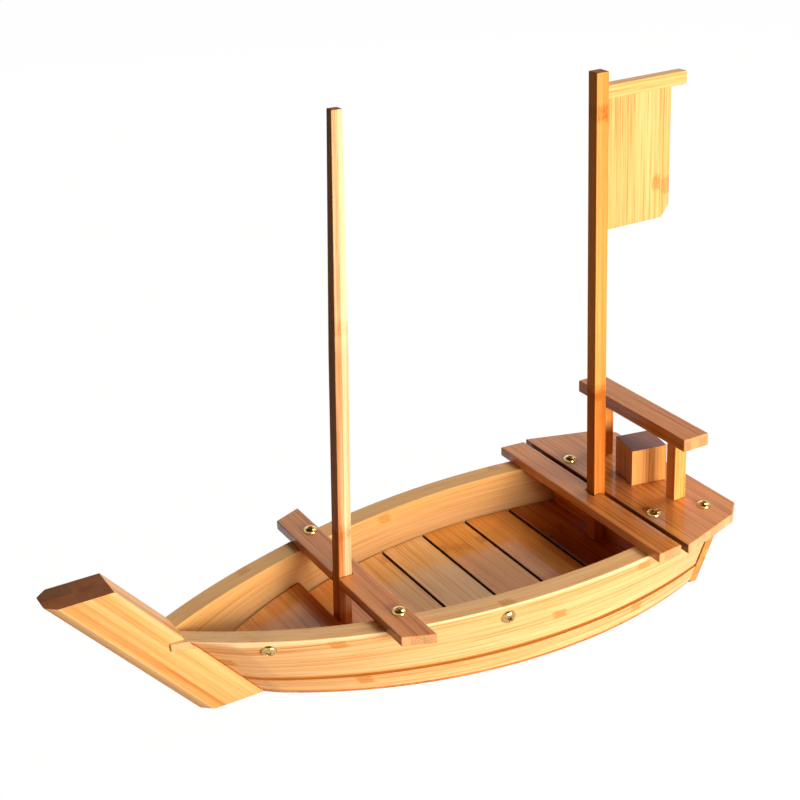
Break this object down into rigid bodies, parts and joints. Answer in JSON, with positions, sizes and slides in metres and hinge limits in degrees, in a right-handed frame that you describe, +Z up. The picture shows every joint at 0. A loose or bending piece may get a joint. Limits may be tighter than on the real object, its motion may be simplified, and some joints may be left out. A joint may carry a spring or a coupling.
{
  "type": "sushi boat",
  "caption": "Boat-shaped wooden serving platter with a slatted well, thwarts, a railed stern deck, a raked fore mast and an aft mast with a flag board; both masts lift out.",
  "frame": {"origin": "centre of the overall length and width, on the table the hull stands on", "axes": "+X towards the stem, +Y to port, +Z up"},
  "size_m": [0.4208, 0.174, 0.3272],
  "materials": {
    "bamboo": "satin varnish",
    "dark_bamboo": "satin varnish",
    "brass": "polished"
  },
  "bodies": {
    "hull": {"bottom_board": "bamboo", "port_lower_strake": "bamboo", "starboard_lower_strake": "bamboo", "port_upper_strake": "bamboo", "starboard_upper_strake": "bamboo", "stem_post": "dark_bamboo", "transom": "bamboo", "aft_bulkhead": "bamboo", "port_batten": "dark_bamboo", "starboard_batten": "dark_bamboo", "floor_slat_1": "bamboo", "floor_slat_2": "bamboo", "floor_slat_3": "bamboo", "floor_slat_4": "bamboo", "floor_slat_5": "bamboo", "floor_slat_6": "bamboo", "bow_deck": "bamboo", "fore_thwart": "dark_bamboo", "aft_thwart": "dark_bamboo", "stern_deck": "dark_bamboo", "port_rail_post": "bamboo", "starboard_rail_post": "bamboo", "rail_bar": "dark_bamboo", "deck_block": "bamboo", "thwart_screws": "brass", "deck_screws": "brass", "side_screws": "brass"},
    "fore_mast": {"fore_mast": "dark_bamboo"},
    "aft_mast": {"aft_mast": "dark_bamboo", "flag_yard": "dark_bamboo", "flag_board": "bamboo"}
  },
  "joints": [
    {"name": "fore_mast_lift", "type": "slide", "parent": "hull", "child": "fore_mast", "axis": [-0.0506, 0, 0.9987], "range_m": [0, 0.054]},
    {"name": "aft_mast_lift", "type": "slide", "parent": "hull", "child": "aft_mast", "axis": [0, 0, 1], "range_m": [0, 0.054]}
  ]
}
